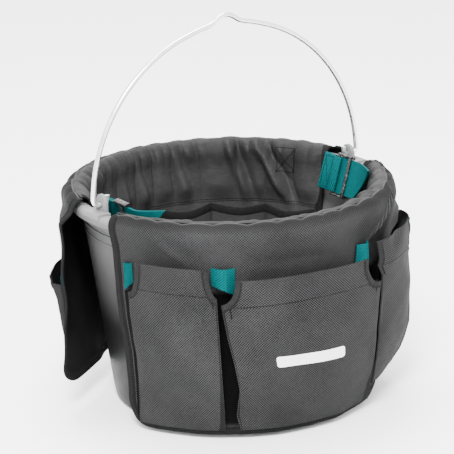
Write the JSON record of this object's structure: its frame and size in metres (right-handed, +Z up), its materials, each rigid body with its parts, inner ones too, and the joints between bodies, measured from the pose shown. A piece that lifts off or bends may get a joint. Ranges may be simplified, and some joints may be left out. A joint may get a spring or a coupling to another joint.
{
  "type": "tool bucket organizer",
  "caption": "Two-part cloth organizer folded over a bucket's rim, with outer and inner tool pockets, side straps with sliders, and a wire bail that swings.",
  "frame": {"origin": "centre of the bucket's underside, on the surface it stands on", "axes": "+Z up through the bucket, the bail's pivots along X, the front half of the organizer towards -Y"},
  "size_m": [0.3777, 0.3665, 0.3905],
  "materials": {
    "bucket_plastic": "satin grey moulded polypropylene",
    "bail_steel": "bright zinc plated wire",
    "slider_steel": "dark plated steel with bright worn edges",
    "outer_cloth": "heavy grey woven polyester",
    "liner_cloth": "dark coated woven lining",
    "binding_tape": "black folded binding tape",
    "teal_webbing": "teal woven webbing"
  },
  "bodies": {
    "bucket": {"back_apron": "outer_cloth", "back_edge_binding": "binding_tape", "back_inner_pockets": "liner_cloth", "back_liner": "liner_cloth", "back_pocket_centre": "outer_cloth", "back_pocket_end": "outer_cloth", "back_pocket_left": "outer_cloth", "back_pocket_right": "outer_cloth", "back_rim_piping": "binding_tape", "back_tab_inner_left": "teal_webbing", "back_tab_inner_right": "teal_webbing", "back_tab_outer_left": "teal_webbing", "back_tab_outer_right": "teal_webbing", "bucket_shell": "bucket_plastic", "front_apron": "outer_cloth", "front_edge_binding": "binding_tape", "front_inner_pockets": "liner_cloth", "front_liner": "liner_cloth", "front_pocket_centre": "outer_cloth", "front_pocket_end": "outer_cloth", "front_pocket_left": "outer_cloth", "front_pocket_right": "outer_cloth", "front_rim_piping": "binding_tape", "front_tab_inner_left": "teal_webbing", "front_tab_inner_right": "teal_webbing", "front_tab_outer_left": "teal_webbing", "front_tab_outer_right": "teal_webbing", "strap_lap_left": "teal_webbing", "strap_lap_right": "teal_webbing", "strap_left": "teal_webbing", "strap_right": "teal_webbing"},
    "bail": {"bail_wire": "bail_steel"},
    "slider_left": {"slider_left": "slider_steel"},
    "slider_right": {"slider_right": "slider_steel"}
  },
  "joints": [
    {"name": "bail_hinge", "type": "hinge", "parent": "bucket", "child": "bail", "pos_m": [0, 0, 0.222], "axis": [1, 0, 0], "range_deg": [-78, 78]},
    {"name": "slider_left_slide", "type": "slide", "parent": "bucket", "child": "slider_left", "axis": [0, -1, 0], "range_m": [0, 0.01]},
    {"name": "slider_right_slide", "type": "slide", "parent": "bucket", "child": "slider_right", "axis": [0, -1, 0], "range_m": [0, 0.01]}
  ]
}
